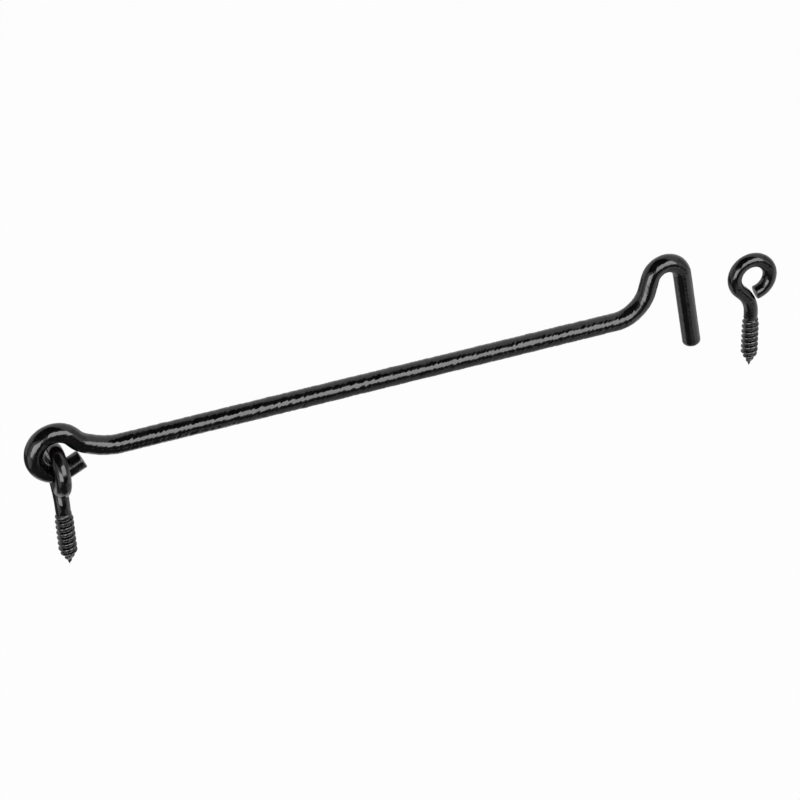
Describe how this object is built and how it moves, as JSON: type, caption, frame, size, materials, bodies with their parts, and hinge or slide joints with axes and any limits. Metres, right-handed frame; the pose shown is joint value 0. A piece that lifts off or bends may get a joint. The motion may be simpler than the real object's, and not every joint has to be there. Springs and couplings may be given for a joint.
{
  "type": "gate hook and eye",
  "caption": "Gate hook and eye: a long hook of round rod whose bent eye is linked to a screw eye, and a separate screw eye whose ring takes the hook's leg.",
  "frame": {"origin": "on the anchor screw eye's axis, at the top of its thread, where it meets the face of the board", "axes": "+X along the hook, from its eye to its leg; +Z out of the board, away from the point of the screw; the hook's bends lie in the XZ plane"},
  "size_m": [0.3735, 0.0354, 0.0828],
  "materials": {
    "black_paint": "thick black gloss paint over bent steel wire and rod, a little uneven"
  },
  "bodies": {
    "anchor": {"anchor_screw_eye": "black_paint"},
    "hook": {"hook": "black_paint"},
    "strike": {"strike_screw_eye": "black_paint"}
  },
  "joints": [
    {"name": "hook_swing", "type": "hinge", "parent": "anchor", "child": "hook", "pos_m": [0.0002, 0, 0.03256], "axis": [0, -1, 0], "range_deg": [0, 180]},
    {"name": "strike_turn", "type": "hinge", "parent": "anchor", "child": "strike", "pos_m": [0.3474, 0.0189, 0], "axis": [0, 0, 1], "continuous": true}
  ]
}
